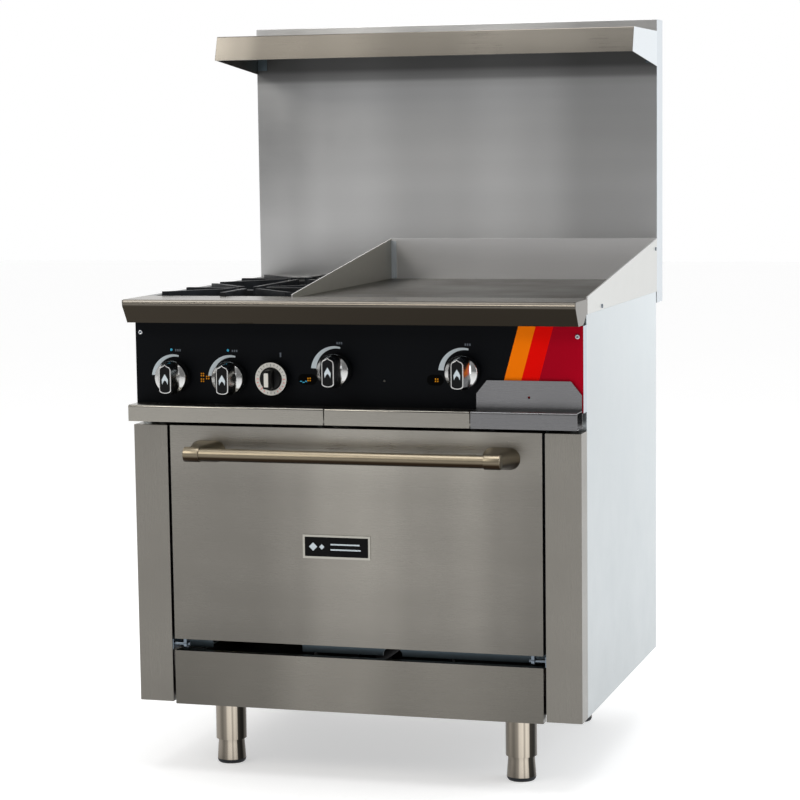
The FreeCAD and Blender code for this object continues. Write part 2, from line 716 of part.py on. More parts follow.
def make_open_burners():
    """A venturi pipe and riser for each burner, with a cast head and cap on top."""
    tubes = []
    heads = []
    for y in ("burner_front", "burner_rear"):
        centre = ("burner_x", y)
        x = "burner_x - 34" if y == "burner_front" else "burner_x + 34"
        pipe = rod("Y", (x, "850"), ("96", f"{y} + 10"), "13")
        link = rod("X", (y, "850"), tuple(sorted((x, "burner_x"), key=number)), "13")
        riser = rod("Z", centre, ("850", "899"), "14")
        tubes.append(fuse(pipe, link, riser))
        head = turned([
            ("0", "0"), ("20", "0"), ("24", "8"), ("46", "14"), ("48", "18"), ("48", "26"), ("44", "28"),
            ("44", "31"), ("40", "37"), ("14", "38"), ("12", "34"), ("0", "34"),
        ], "Z", centre, "899.3")
        heads.append(head)
    node("open_burner_tubes", group(*tubes))
    node("open_burner_heads", group(*heads))


def ordered(near, far, sign):
    """The pair of limits from low to high for a bar that runs outward from a centre."""
    return (near, far) if sign == "+" else (far, near)


def make_grate(name, centre_y):
    """A low cast frame with eight raised arms that reach in from its corners and sides."""
    x = "burner_x"
    y = centre_y
    low_x, high_x = f"{x} - grate_half_x", f"{x} + grate_half_x"
    low_y, high_y = f"{y} - grate_half_y", f"{y} + grate_half_y"
    rim = ("grate_foot", "grate_foot + 12")
    arm = ("grate_foot + 10", "grate_top")
    pieces = []
    for side in ((low_x, f"{low_x} + grate_bar"), (f"{high_x} - grate_bar", high_x)):
        pieces.append(block(side, (low_y, high_y), rim))
    for end in ((low_y, f"{low_y} + grate_bar"), (f"{high_y} - grate_bar", high_y)):
        pieces.append(block((low_x, high_x), end, rim))
    for sign in ("-", "+"):
        pieces.append(block(ordered(f"{x} {sign} 34", f"{x} {sign} grate_half_x", sign),
                            (f"{y} - 6", f"{y} + 6"), arm))
        pieces.append(block((f"{x} - 6", f"{x} + 6"),
                            ordered(f"{y} {sign} 34", f"{y} {sign} grate_half_y", sign), arm))
    for across in (-1, 1):
        for along in (-1, 1):
            tip_x, root_x = f"{x} + {across} * 30", f"{x} + {across} * (grate_half_x - 7)"
            tip_y, root_y = f"{y} + {along} * 32", f"{y} + {along} * (grate_half_y - 20)"
            corners = [(f"{tip_x} - 7", tip_y), (f"{tip_x} + 7", tip_y),
                       (f"{root_x} + 7", root_y), (f"{root_x} - 7", root_y)]
            pieces.append(profile("XY", corners, arm))
    node(name, fuse(*pieces))


def make_griddle():
    edge = "half_width - splash"
    plate = block(("divider + splash", edge), ("griddle_front", "guard_front - splash - 2"),
                  ("griddle_under", "griddle_top"))
    node("griddle_plate", plate)
    left = profile("YZ", [("82", "griddle_under"), ("82", "splash_low"), ("guard_front", "splash_high"),
                          ("guard_front", "griddle_under")], ("divider", "divider + splash"))
    right = profile("YZ", [("59", "side_top"), ("59", "splash_low"), ("guard_front", "splash_high"),
                           ("guard_front", "side_top")], (edge, "half_width"))
    back = block(("divider + 1", f"{edge} + 1"), ("guard_front - splash", "guard_front"),
                 ("griddle_under", "splash_high"))
    flange = block(("divider + 1", "divider + splash + 13"), ("guard_front - splash - 1.5", "guard_front - 1"),
                   ("griddle_top + 0.2", "splash_high - 4"))
    node("griddle_splash", fuse(left, right, back, flange))


def make_griddle_burners():
    """Two burners, each a pair of tubes joined at the front and rear."""
    pairs = []
    for x in ("0", "298"):
        arms = [rod("Y", (f"{x} + {side} * 62", "912"), ("150", "690"), "13") for side in (-1, 1)]
        links = [rod("X", (y, "912"), (f"{x} - 62", f"{x} + 62"), "13") for y in ("163", "677")]
        feed = rod("Y", (x, "912"), ("120", "163"), "11")
        pairs.append(fuse(*arms, *links, feed))
    node("griddle_burners", group(*pairs))


def make_grease_chute():
    """A trough across the griddle's front edge that drains down a chute into the drawer."""
    trough = shell(("divider + 4", "half_width - side_flange - 5"), ("nose_back + 3", "griddle_front"),
                   ("914", "griddle_under - 0.5"), "+Z")
    chute = block(("330", "370"), ("nose_back + 6", "griddle_front - 2"), ("748", "915"))
    bore = block(("332", "368"), ("nose_back + 8", "griddle_front - 4"), ("740", "930"))
    node("grease_chute", cut(fuse(trough, chute), bore))


# ---------------------------------------------------------------- backguard and shelf

def make_backguard():
    xs = ("-half_width", "half_width")
    pan = shell(xs, ("guard_front", "guard_back"), ("guard_bottom", "guard_top"), "+Y")
    port = block(("-flue_half - 2", "flue_half + 2"), ("guard_front - 5", "guard_front + 5"),
                 ("guard_bottom - 5", "926"))
    node("backguard_front", cut(pan, port))
    sheet = block(("-half_width + sheet", "half_width - sheet"), ("guard_back - sheet", "guard_back"),
                  ("guard_bottom + sheet", "guard_top - sheet"))
    slots = [block(("-140", "140"), ("guard_back - 10", "guard_back + 10"), (f"{z}", f"{z + 8}"))
             for z in range(1430, 1500, 18)]
    node("backguard_back", cut(sheet, *slots))


def make_flue():
    """A duct from the oven's rear wall, up behind it and on up inside the backguard."""
    half = "flue_half"
    spans = [
        (("oven_back + sheet", "flue_back"), ("598", "640")),
        (("flue_front", "flue_back"), ("598", "924")),
        (("flue_front", "815"), ("908", "924")),
        (("768", "815"), ("908", "1500")),
    ]
    outer = [block((f"-{half}", half), ys, zs) for ys, zs in spans]
    walls = [
        (("oven_back", "flue_back - sheet"), ("599.5", "638.5")),
        (("flue_front + sheet", "flue_back - sheet"), ("599.5", "922.5")),
        (("flue_front + sheet", "813.5"), ("909.5", "922.5")),
        (("769.5", "813.5"), ("909.5", "1505")),
    ]
    inner = [block((f"-{half} + sheet", f"{half} - sheet"), ys, zs) for ys, zs in walls]
    node("flue_duct", cut(fuse(*outer), fuse(*inner)))


def make_shelf():
    """A folded shelf: a flat top, a lip that leans out at its foot, and an end plate each side."""
    points = [
        ("guard_front", "shelf_top"), ("shelf_lip_top", "shelf_top"), ("shelf_lip_foot", "shelf_lip_bottom"),
        ("shelf_lip_foot + 12", "shelf_lip_bottom"), ("shelf_lip_foot + 12", "shelf_lip_bottom + sheet"),
        ("shelf_lip_foot + 2.1", "shelf_lip_bottom + sheet"), ("shelf_lip_top + 1.2", "shelf_top - sheet"),
        ("guard_front - sheet", "shelf_top - sheet"), ("guard_front - sheet", "shelf_top - 24"),
        ("guard_front", "shelf_top - 24"),
    ]
    top = profile("YZ", points, ("-half_width", "half_width"))
    bend(top, "shelf_lip_top", "shelf_top", "2.5")
    end = [("guard_front", "shelf_top - 0.5"), ("shelf_lip_top + 2.5", "shelf_top - 0.5"),
           ("shelf_lip_top + 0.5", "shelf_top - 3"), ("shelf_lip_foot + 0.3", "shelf_lip_bottom + 0.2"),
           ("guard_front", "shelf_end_bottom")]
    ends = [profile("YZ", end, span)
            for span in (("-half_width", "-half_width + sheet"), ("half_width - sheet", "half_width"))]
    node("high_shelf", fuse(top, *ends))


def make_shelf_brackets():
    """A small angle under each end of the shelf, screwed to the backguard."""
    angles = []
    for low, high in (("-half_width + 2", "-half_width + 24"), ("half_width - 24", "half_width - 2")):
        upright = block((low, high), ("guard_front - 2", "guard_front"), ("1424", "1464"))
        arm = block((low, high), ("guard_front - 24", "guard_front - 1"), ("1462", "1464"))
        angles.append(fuse(upright, arm))
    node("shelf_brackets", group(*angles))


# ---------------------------------------------------------------- build, check and write

def build():
    make_side_panels()
    make_back_panel()
    make_base_frame()
    make_stiles()
    make_kick_panel()
    make_legs()
    make_front_frame()
    make_liner()
    make_oven_deck()
    make_insulation()
    make_top_cover()
    make_rack_guides()
    make_rack("oven_rack_lower", 1)
    make_rack("oven_rack_upper", 3)
    make_oven_burner()
    make_flame_spreader()
    make_door()
    make_gasket()
    make_hinges()
    make_handle()
    make_control_panel()
    make_manifold()
    make_valves()
    make_knob("burner_knob_front", "knob_one", "low_row")
    make_knob("burner_knob_rear", "knob_two", "low_row")
    make_knob("griddle_knob_left", "knob_three", "high_row")
    make_knob("griddle_knob_right", "knob_four", "high_row")
    make_dial()
    make_screws()
    make_trays()
    make_bullnose()
    make_cooktop_frame()
    make_open_burners()
    make_grate("grate_front", "burner_front")
    make_grate("grate_rear", "burner_rear")
    make_griddle()
    make_griddle_burners()
    make_grease_chute()
    make_backguard()
    make_flue()
    make_shelf()
    make_shelf_brackets()


def check():
    """Stop if any object failed, or if a sub-part's shape is missing or invalid."""
    for thing in DOC.Objects:
        if "Invalid" in thing.State or "Error" in thing.State:
            raise RuntimeError(f"{thing.Name} ({thing.Label}) failed: {thing.State}")
    for name, thing in NODES.items():
        if thing.Shape.isNull() or not thing.Shape.isValid() or thing.Shape.Volume <= 0:
            raise RuntimeError(f"{name} has a bad shape")


def write():
    os.makedirs("parts", exist_ok=True)
    for name, thing in NODES.items():
        thing.Shape.exportStep(f"parts/{name}.step")
        print(f"{name}: {len(thing.Shape.Solids)} solids, {thing.Shape.Volume / 1000:.1f} cm3")


SHEET = make_sheet()
build()
DOC.recompute()
check()
write()
print(len(NODES), "sub-parts")
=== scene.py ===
"""Looks for the commercial gas range: materials, small printed and pressed details, light and camera."""

import json
import math

import bmesh
import bpy
from mathutils import Matrix, Vector


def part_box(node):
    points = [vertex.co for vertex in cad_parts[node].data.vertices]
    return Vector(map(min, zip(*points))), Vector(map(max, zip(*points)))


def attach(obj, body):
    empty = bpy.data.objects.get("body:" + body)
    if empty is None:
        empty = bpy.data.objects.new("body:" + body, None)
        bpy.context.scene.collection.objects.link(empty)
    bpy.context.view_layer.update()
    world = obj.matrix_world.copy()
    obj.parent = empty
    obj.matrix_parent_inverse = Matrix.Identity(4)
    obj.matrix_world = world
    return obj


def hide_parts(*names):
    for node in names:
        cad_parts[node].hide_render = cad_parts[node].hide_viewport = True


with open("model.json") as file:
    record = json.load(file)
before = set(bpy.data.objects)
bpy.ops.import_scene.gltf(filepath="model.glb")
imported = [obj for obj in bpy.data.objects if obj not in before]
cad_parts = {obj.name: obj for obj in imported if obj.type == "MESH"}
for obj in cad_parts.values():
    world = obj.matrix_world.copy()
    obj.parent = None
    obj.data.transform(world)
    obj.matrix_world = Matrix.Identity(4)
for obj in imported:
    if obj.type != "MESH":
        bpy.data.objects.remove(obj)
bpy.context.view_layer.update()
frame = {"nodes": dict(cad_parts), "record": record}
NODES = frame["nodes"]
SCENE = bpy.context.scene
HALF_WIDTH = 0.457      # of the casing, in metres


# ---------------------------------------------------------------- shader graphs

class Graph:
    """A short way to write a material's node tree."""

    def __init__(self, name):
        self.material = bpy.data.materials.new(name)
        self.material.use_nodes = True
        self.tree = self.material.node_tree
        self.tree.nodes.clear()
        self.shader = self.add("ShaderNodeBsdfPrincipled")
        output = self.add("ShaderNodeOutputMaterial")
        self.join(self.shader.outputs["BSDF"], output.inputs["Surface"])
        self.space = self.add("ShaderNodeTexCoord").outputs["Object"]

    def add(self, kind, **values):
        made = self.tree.nodes.new(kind)
        for key, value in values.items():
            setattr(made, key, value)
        return made

    def join(self, start, end):
        self.tree.links.new(start, end)

    def feed(self, thing, key, value):
        """Set a socket to a number or colour, or join it to another node's output."""
        socket = thing.inputs[key]
        if isinstance(value, bpy.types.NodeSocket):
            self.join(value, socket)
        else:
            socket.default_value = value

    def set(self, **values):
        """Feed the shader's own sockets, under short names."""
        names = {"colour": "Base Color", "metal": "Metallic", "rough": "Roughness", "normal": "Normal",
                 "coat": "Coat Weight", "specular": "Specular IOR Level"}
        for key, value in values.items():
            self.feed(self.shader, names[key], value)

    def noise(self, scale, stretch=(1, 1, 1), detail=4.0, rough=0.55):
        mapping = self.add("ShaderNodeMapping")
        self.join(self.space, mapping.inputs["Vector"])
        mapping.inputs["Scale"].default_value = stretch
        texture = self.add("ShaderNodeTexNoise")
        self.join(mapping.outputs["Vector"], texture.inputs["Vector"])
        texture.inputs["Scale"].default_value = scale
        texture.inputs["Detail"].default_value = detail
        texture.inputs["Roughness"].default_value = rough
        return texture.outputs["Fac"]

    def spread(self, value, low, high, from_low=0.3, from_high=0.7, smooth=False):
        """Map a value's middle range onto low to high."""
        node = self.add("ShaderNodeMapRange")
        if smooth:
            node.interpolation_type = "SMOOTHSTEP"
        for key, number in (("From Min", from_low), ("From Max", from_high),
                            ("To Min", low), ("To Max", high)):
            node.inputs[key].default_value = number
        self.join(value, node.inputs["Value"])
        return node.outputs["Result"]

    def mix(self, factor, first, second, blend="MIX"):
        node = self.add("ShaderNodeMix", data_type="RGBA", blend_type=blend)
        sockets = [s for s in node.inputs if s.enabled]
        for socket, value in zip(sockets, (factor, first, second)):
            if isinstance(value, bpy.types.NodeSocket):
                self.join(value, socket)
            elif isinstance(value, (int, float)):
                socket.default_value = value
            else:
                socket.default_value = rgba(value)
        return [s for s in node.outputs if s.enabled][0]

    def maths(self, operation, first, second=0.0):
        node = self.add("ShaderNodeMath", operation=operation)
        for socket, value in zip(node.inputs, (first, second)):
            if isinstance(value, bpy.types.NodeSocket):
                self.join(value, socket)
            else:
                socket.default_value = value
        return node.outputs[0]

    def axis(self, letter, source=None):
        """One coordinate of the object, or of another vector."""
        node = self.add("ShaderNodeSeparateXYZ")
        self.join(source or self.space, node.inputs[0])
        return node.outputs[letter]

    def bump(self, height, distance, strength=1.0):
        node = self.add("ShaderNodeBump")
        node.inputs["Strength"].default_value = strength
        node.inputs["Distance"].default_value = distance
        self.join(height, node.inputs["Height"])
        return node.outputs["Normal"]

    def ramp(self, value, stops):
        """A smooth ramp of grey levels at positions from 0 to 1."""
        node = self.add("ShaderNodeValToRGB")
        self.join(value, node.inputs["Fac"])
        elements = node.color_ramp.elements
        while len(elements) < len(stops):
            elements.new(0.5)
        for element, (place, level) in zip(elements, stops):
            element.position = place
        for element, (place, level) in zip(elements, stops):
            element.color = (level, level, level, 1.0)
        # a spline would smooth away the narrow bands of a ramp that has many stops
        node.color_ramp.interpolation = "B_SPLINE" if len(stops) < 6 else "EASE"
        return node.outputs["Color"]

    def tone(self, letter, tones, peak):
        """Brightness along an axis of the object, from pairs of (metres, brightness), with peak as 1."""
        low, high = tones[0][0], tones[-1][0]
        share = self.spread(self.axis(letter), 0.0, 1.0, low, high)
        return self.ramp(share, [((place - low) / (high - low), level / peak) for place, level in tones])

    def facing(self, letter):
        """One component of the surface's own normal, the same from every view."""
        return self.axis(letter, self.add("ShaderNodeNewGeometry").outputs["Normal"])

    def colour_so_far(self):
        return self.shader.inputs["Base Color"].links[0].from_socket

    def lay(self, share, colour):
        """Lay another colour over the present one, where share is 1."""
        self.set(colour=self.mix(share, self.colour_so_far(), colour))

    def shade(self, tone):
        """Multiply the present colour by a tone."""
        self.set(colour=self.mix(1.0, self.colour_so_far(), tone, "MULTIPLY"))


def rgba(colour):
    return (*colour, 1.0) if len(colour) == 3 else tuple(colour)


def srgb(*levels):
    """A colour written as 0 to 255 screen levels, as the linear values that shaders use."""
    return tuple((v / 255 / 12.92) if v <= 10 else ((v / 255 + 0.055) / 1.055) ** 2.4 for v in levels)


# how far noise is stretched to draw scratches that run along X, Y or Z
GRAINS = {"X": (1.2, 260.0, 260.0), "Y": (260.0, 1.2, 260.0), "Z": (260.0, 260.0, 1.2)}


def brushed(name, colour, grain="X", rough=0.32, contrast=0.10, depth=0.00002, metal=1.0,
            across=None, along=None, up=None):
    """Rolled and brushed sheet: long fine scratches, soft streaks, handling smudges.

    across, along and up hold pairs of (metres, brightness) for painted light and shade: broad bands of
    brightness on X, Y or Z.
    """
    g = Graph(name)
    fine = g.noise(5.0, GRAINS[grain], detail=3.0, rough=0.7)
    streak = g.noise(0.9, GRAINS[grain], detail=2.0)
    cloud = g.noise(3.2, detail=3.0)
    shade = g.maths("ADD", g.spread(fine, -contrast, contrast), g.spread(streak, -contrast / 4, contrast / 4))
    shade = g.maths("ADD", shade, g.spread(cloud, -0.04, 0.04))
    bands = [(letter, tones) for letter, tones in (("X", across), ("Y", along), ("Z", up)) if tones]
    peaks = [max(level for place, level in tones) for letter, tones in bands]
    dark = tuple(v * 0.75 * math.prod(peaks) for v in colour)
    pale = tuple(min(1.0, v * 1.25 * math.prod(peaks)) for v in colour)
    surface = g.mix(g.maths("ADD", shade, 0.5), dark, pale)
    # painted light and shade: each band multiplies the colour
    for (letter, tones), peak in zip(bands, peaks):
        surface = g.mix(1.0, surface, g.tone(letter, tones, peak), "MULTIPLY")
    smudge = g.noise(9.0, detail=5.0, rough=0.6)
    polish = g.maths("ADD", g.spread(fine, rough - 0.05, rough + 0.05), g.spread(smudge, -0.035, 0.035))
    g.set(colour=surface, metal=metal, rough=polish, normal=g.bump(fine, depth))
    return g


def plain(name, colour, rough=0.4, metal=0.0, variation=0.08, grit=60.0, depth=0.00005, **extra):
    """A moulded, painted or plated surface with a slight unevenness in colour and gloss."""
    g = Graph(name)
    cloud = g.noise(grit * 0.2, detail=3.0)
    grain = g.noise(grit * 12, detail=2.0)
    surface = g.mix(g.spread(cloud, 0.0, 1.0), tuple(v * (1 - variation) for v in colour),
                    tuple(min(1.0, v * (1 + variation)) for v in colour))
    g.set(colour=surface, metal=metal, rough=g.spread(cloud, rough - 0.04, rough + 0.04),
          normal=g.bump(grain, depth), **extra)
    return g


def rough_cast(name, colour, rough=0.55):
    """Sand-cast iron: pitted, blue-black, with browner worn high spots."""
    g = Graph(name)
    pits = g.noise(420.0, detail=4.0, rough=0.7)
    patches = g.noise(26.0, detail=4.0)
    worn = tuple(v * 1.9 for v in colour)
    surface = g.mix(g.spread(patches, 0.0, 1.0, 0.42, 0.62), colour, worn)
    g.set(colour=surface, metal=0.25, rough=g.spread(patches, rough - 0.12, rough + 0.08),
          normal=g.bump(pits, 0.0004, 0.6))
    return g


# ---------------------------------------------------------------- materials by slot

def undershade(g, colour, low, high):
    """Paint shade on the faces that look down: fully where the normal's Z is under low, not at all over high.
    """
    g.lay(g.spread(g.facing("Z"), 1.0, 0.0, low, high, smooth=True), colour)
    return g


def painted_light_on_ends(g, colour):
    """Give the two outermost faces, which look left and right, a paler colour of their own: a painted
    highlight.
    """
    end = g.spread(g.maths("MULTIPLY", g.axis("X"), g.facing("X")), 0.0, 1.0, 0.30, 0.40)
    g.lay(end, colour)
    return end


def bullnose_material():
    """Bright brushed landing over a polished nose whose undercut face is darkened by painted shade; the whole
    rail is darker towards the right, also painted shade.
    """
    g = brushed("rail_steel", srgb(137, 131, 122), "X", rough=0.22, contrast=0.02, depth=0.000004)
    g.set(rough=g.spread(g.facing("Z"), 0.05, 0.24, -0.5, 0.2))
    # painted shade on the undercut face, which looks down
    undershade(g, srgb(53, 48, 41), -0.40, 0.10)
    # painted shade: the rail darker towards the right
    g.shade(g.tone("X", ((-HALF_WIDTH, 1.0), (0.0, 0.77), (HALF_WIDTH, 0.62)), 1.0))
    return g


def handle_material():
    """Champagne-toned polish, bright on top, with painted shade that turns it brown below."""
    g = brushed("handle_steel", srgb(158, 147, 127), "X", rough=0.36, contrast=0.03)
    # painted shade on the faces that look down
    return undershade(g, srgb(38, 28, 18), -0.45, 0.30)


def polished_tube():
    """Mirror-bright tube with painted reflections: long pale and dark streaks down its length, set by which
    way each face looks.
    """
    g = brushed("leg_steel", srgb(196, 186, 172), "Z", rough=0.14, contrast=0.04)
    turn = g.maths("ARCTAN2", g.facing("Y"), g.facing("X"))
    first_reflection_turn = 1.91
    half_turns = g.maths("ADD", g.maths("DIVIDE", turn, math.pi), first_reflection_turn)
    # painted reflections: grey levels round the tube
    stops = ((0.0, 0.36), (0.23, 0.42), (0.33, 0.22), (0.40, 0.34), (0.46, 0.92), (0.52, 1.0), (0.545, 0.55),
             (0.59, 1.0), (0.64, 0.85), (0.67, 0.06), (0.79, 0.03), (0.86, 0.22), (1.0, 0.36))
    g.shade(g.ramp(g.maths("FRACT", half_turns), stops))
    return g


def panel_material():
    """Black printed film on the front of a sheet whose ends are left as bare steel, in a pale colour that is
    partly a painted highlight.
    """
    g = plain("panel_film", srgb(3, 5, 9), rough=0.5, grit=90.0, specular=0.08)
    # the bare steel ends, in a colour that is partly a painted highlight
    end = painted_light_on_ends(g, srgb(184, 190, 196))
    g.set(metal=g.maths("MULTIPLY", end, 0.9))
    return g


def wool_material():
    """Yellowish mineral wool."""
    g = Graph("mineral_wool")
    fibre = g.noise(160.0, (1, 3, 1), detail=6.0, rough=0.75)
    g.set(colour=g.mix(fibre, srgb(150, 135, 92), srgb(214, 202, 160)), rough=0.95,
          normal=g.bump(fibre, 0.002))
    return g


def enamel_material():
    """Blue-black vitreous enamel with pale flecks."""
    g = Graph("oven_enamel")
    flecks = g.noise(900.0, detail=1.0)
    surface = g.mix(g.spread(flecks, 0.0, 1.0, 0.66, 0.72), srgb(38, 44, 54), srgb(120, 128, 136))
    g.set(colour=surface, rough=g.spread(g.noise(20.0), 0.22, 0.34), coat=0.3)
    return g


def griddle_material():
    """A ground plate: crossed grinding marks and faint brown heat stains."""
    g = Graph("ground_plate")
    along = g.noise(3.0, GRAINS["Y"], detail=3.0, rough=0.7)
    across = g.noise(1.4, GRAINS["X"], detail=2.0)
    stain = g.noise(5.0, detail=4.0)
    grey = g.mix(along, srgb(55, 53, 48), srgb(81, 78, 70))
    surface = g.mix(g.spread(stain, 0.0, 0.5, 0.45, 0.75), grey, srgb(88, 76, 60))
    height = g.maths("ADD", along, g.maths("MULTIPLY", across, 0.4))
    g.set(colour=surface, metal=1.0, rough=g.spread(stain, 0.30, 0.42), normal=g.bump(height, 0.00004))
    # painted shade: the plate darker towards the left
    g.shade(g.tone("X", ((-0.14, 0.56), (0.1, 0.66), (0.3, 0.95), (0.45, 1.0)), 1.0))
    return g


def gasket_material():
    """Woven rope: two crossed bands of yarn."""
    g = Graph("woven_rope")
    waves = []
    for turn in (0.7, -0.7):
        mapping = g.add("ShaderNodeMapping")
        mapping.inputs["Rotation"].default_value = (0, turn, 0)
        g.join(g.space, mapping.inputs["Vector"])
        wave = g.add("ShaderNodeTexWave")
        wave.inputs["Scale"].default_value = 90.0
        g.join(mapping.outputs["Vector"], wave.inputs["Vector"])
        waves.append(wave.outputs["Fac"])
    weave = g.maths("MULTIPLY", *waves)
    g.set(colour=g.mix(weave, srgb(24, 24, 25), srgb(70, 69, 66)), rough=0.85, normal=g.bump(weave, 0.0006))
    return g


def splash_material():
    """The griddle's splash: painted bright across the back, duller on the inner faces of its side walls, with
    a painted highlight on the outer face of the right wall.
    """
    g = brushed("splash_steel", srgb(250, 250, 252), "X", rough=0.36, contrast=0.05, metal=0.82)
    wall = g.spread(g.facing("X"), 0.0, 1.0, 0.3, 0.9)
    outer = g.spread(g.axis("X"), 0.0, 1.0, HALF_WIDTH - 0.001, HALF_WIDTH + 0.001)
    # the duller colour on the inner faces, and a painted highlight on the right wall's outer face
    g.lay(wall, g.mix(outer, srgb(168, 164, 153), srgb(238, 241, 243)))
    return g


# The stainless parts share one steel: the different greys given to them here and below, and their tones on X,
# Y and Z, are painted light and shade.
FRONT_GREY = srgb(131, 128, 122)
BACK_GREY = srgb(172, 173, 174)
DOOR_PAINTED_LIGHT = ((-0.37, 0.86), (-0.30, 0.84), (-0.20, 0.83), (-0.12, 0.97), (-0.05, 1.23), (0.02, 1.30),
              (0.07, 1.23), (0.12, 1.08), (0.18, 1.04), (0.24, 1.14), (0.30, 0.93), (0.37, 0.82))
SURFACES = {
    # painted shade: the sides darker towards the bottom and the front
    "stainless_side": brushed("side_steel", srgb(205, 215, 222), "Z", rough=0.34, contrast=0.03,
                              along=((-0.36, 0.90), (0.10, 1.02), (0.45, 1.14)),
                              up=((0.13, 0.60), (0.45, 0.86), (0.70, 0.98), (0.95, 1.10))),
    "galvanised": brushed("zinc_sheet", srgb(150, 152, 152), "X", rough=0.45, contrast=0.12),
    # painted reflections in bands across the door; up the door, painted shade low down and painted light
    # around the handle
    "stainless_front": brushed("front_steel", FRONT_GREY, "X", rough=0.30, contrast=0.05,
                               across=DOOR_PAINTED_LIGHT,
                               up=((0.27, 0.72), (0.35, 0.85), (0.45, 0.97), (0.57, 1.08), (0.67, 1.36),
                                   (0.72, 1.36), (0.80, 1.24))),
    "stainless_top": bullnose_material(),
    # painted light and shade across the back, brighter low down
    "stainless_back": brushed("back_steel", BACK_GREY, "X", rough=0.36, contrast=0.05,
                              across=((-0.45, 0.72), (-0.1, 0.98), (0.2, 1.05), (0.45, 0.84)),
                              up=((0.96, 1.62), (1.15, 1.45), (1.30, 1.15), (1.42, 0.92))),
    "leg_metal": polished_tube(),
    "oven_enamel": enamel_material(),
    "insulation": wool_material(),
    "chrome_wire": plain("plated_wire", srgb(205, 205, 206), rough=0.16, metal=1.0),
    "burner_steel": brushed("burner_tube", srgb(140, 136, 130), "Y", rough=0.42, contrast=0.12),
    "gasket": gasket_material(),
    "hinge_steel": plain("zinc_plate", srgb(112, 122, 132), rough=0.35, metal=1.0),
    "badge": plain("badge_rim", srgb(176, 174, 166), rough=0.3, metal=1.0),
    "handle_metal": handle_material(),
    "panel_black": panel_material(),
    "gas_pipe": plain("black_pipe", srgb(46, 46, 48), rough=0.5, metal=0.6),
    "valve_brass": plain("valve_brass", srgb(190, 158, 90), rough=0.28, metal=1.0),
    "knob_chrome": plain("knob_chrome", srgb(200, 200, 199), rough=0.15, metal=1.0, variation=0.03),
    "dial": plain("dial_black", srgb(8, 8, 9), rough=0.35, specular=0.2),
    "cast_iron": rough_cast("cast_iron", srgb(15, 18, 23), rough=0.48),
    "griddle_steel": griddle_material(),
    # black paint; on the base frame it keeps the inside seen through the slot under the door dark, as painted
    # shade
    "black_paint": plain("black_paint", srgb(14, 14, 15), rough=0.6),
    "frame_steel": brushed("frame_steel", srgb(92, 104, 112), "X", rough=0.4, contrast=0.06),
}
MATERIALS = {slot: surface.material for slot, surface in SURFACES.items()}

# painted light and shade on the stiles, ledges, drawer and kick panel: their greys and their tones on X and Z
UPRIGHT = brushed("front_steel_upright", FRONT_GREY, "Z", rough=0.30, contrast=0.05,
                  across=((-0.45, 0.93), (0.45, 1.05)),
                  up=((0.14, 0.76), (0.35, 0.88), (0.50, 0.94), (0.65, 1.08), (0.80, 1.08))).material
# black heat scale on the oven burner and flame spreader, also kept dark so that the inside seen through the
# slot under the door reads dark: partly painted shade
SCALE_AND_SHADE = plain("heat_scale_and_shade", srgb(12, 12, 13), rough=0.8, variation=0.2, specular=0.1).material
LEDGE = brushed("ledge_steel", srgb(150, 147, 140), "X", rough=0.24, contrast=0.05,
                across=((-0.45, 1.14), (-0.1, 1.08), (0.2, 0.95), (0.45, 0.72))).material
DRAWER = brushed("drawer_steel", srgb(130, 130, 132), "X", rough=0.28, contrast=0.05,
                 up=((0.720, 0.88), (0.762, 0.88), (0.768, 1.0), (0.830, 1.0))).material
KICK = brushed("kick_steel", srgb(116, 113, 107), "X", rough=0.30, contrast=0.05,
               across=((-0.37, 0.67), (-0.20, 0.77), (-0.10, 1.07), (0.0, 1.12), (0.10, 0.91), (0.20, 0.97),
                       (0.37, 0.78)),
               up=((0.14, 0.93), (0.25, 1.06))).material
# painted light and shade on the shelf: bands across it and shade along its lower edge
SHELF = brushed("shelf_steel", srgb(118, 114, 107), "X", rough=0.32, contrast=0.03, depth=0.000006,
                across=((-0.46, 1.60), (-0.40, 1.30), (-0.35, 0.86), (-0.25, 0.95), (-0.15, 1.10),
                        (-0.05, 0.90), (0.05, 0.95), (0.15, 1.26), (0.30, 1.20), (0.46, 1.20)),
                up=((1.438, 0.84), (1.460, 1.0), (1.491, 1.08)))
# painted highlight on the shelf's ends
painted_light_on_ends(SHELF, srgb(226, 232, 236))
# painted light and shade on the backguard's front: bands across it, a painted shadow in the band under the
# shelf, and painted light low down and above the shelf
GUARD = brushed("guard_steel", BACK_GREY, "X", rough=0.36, contrast=0.05,
                across=((-0.46, 0.72), (-0.38, 0.80), (-0.30, 1.0), (-0.20, 1.12), (-0.10, 1.0), (0.0, 1.04),
                        (0.10, 1.16), (0.20, 1.06), (0.30, 0.82), (0.46, 0.84)),
                up=((0.96, 1.90), (1.06, 1.88), (1.15, 1.58), (1.22, 1.37), (1.28, 1.26), (1.32, 1.30),
                    (1.35, 1.38), (1.375, 1.42), (1.39, 1.30), (1.403, 0.68), (1.41, 0.60), (1.425, 0.32),
                    (1.45, 0.32), (1.50, 2.1), (1.516, 2.1)))
# painted highlight on the backguard's ends
painted_light_on_ends(GUARD, srgb(213, 219, 224))
SPLASH = splash_material().material

# small parts that have no slot of their own
GLASS = plain("sight_glass", srgb(1, 1, 1), rough=0.3, specular=0.03, variation=0.0).material
PLATE_BLACK = plain("plate_black", srgb(4, 4, 5), rough=0.5, specular=0.1, variation=0.02).material
INSERT = plain("knob_insert", srgb(6, 7, 9), rough=0.35, specular=0.15, variation=0.02,
               depth=0.00001).material
IVORY = plain("dial_ivory", srgb(205, 203, 196), rough=0.4, variation=0.04, depth=0.00001).material
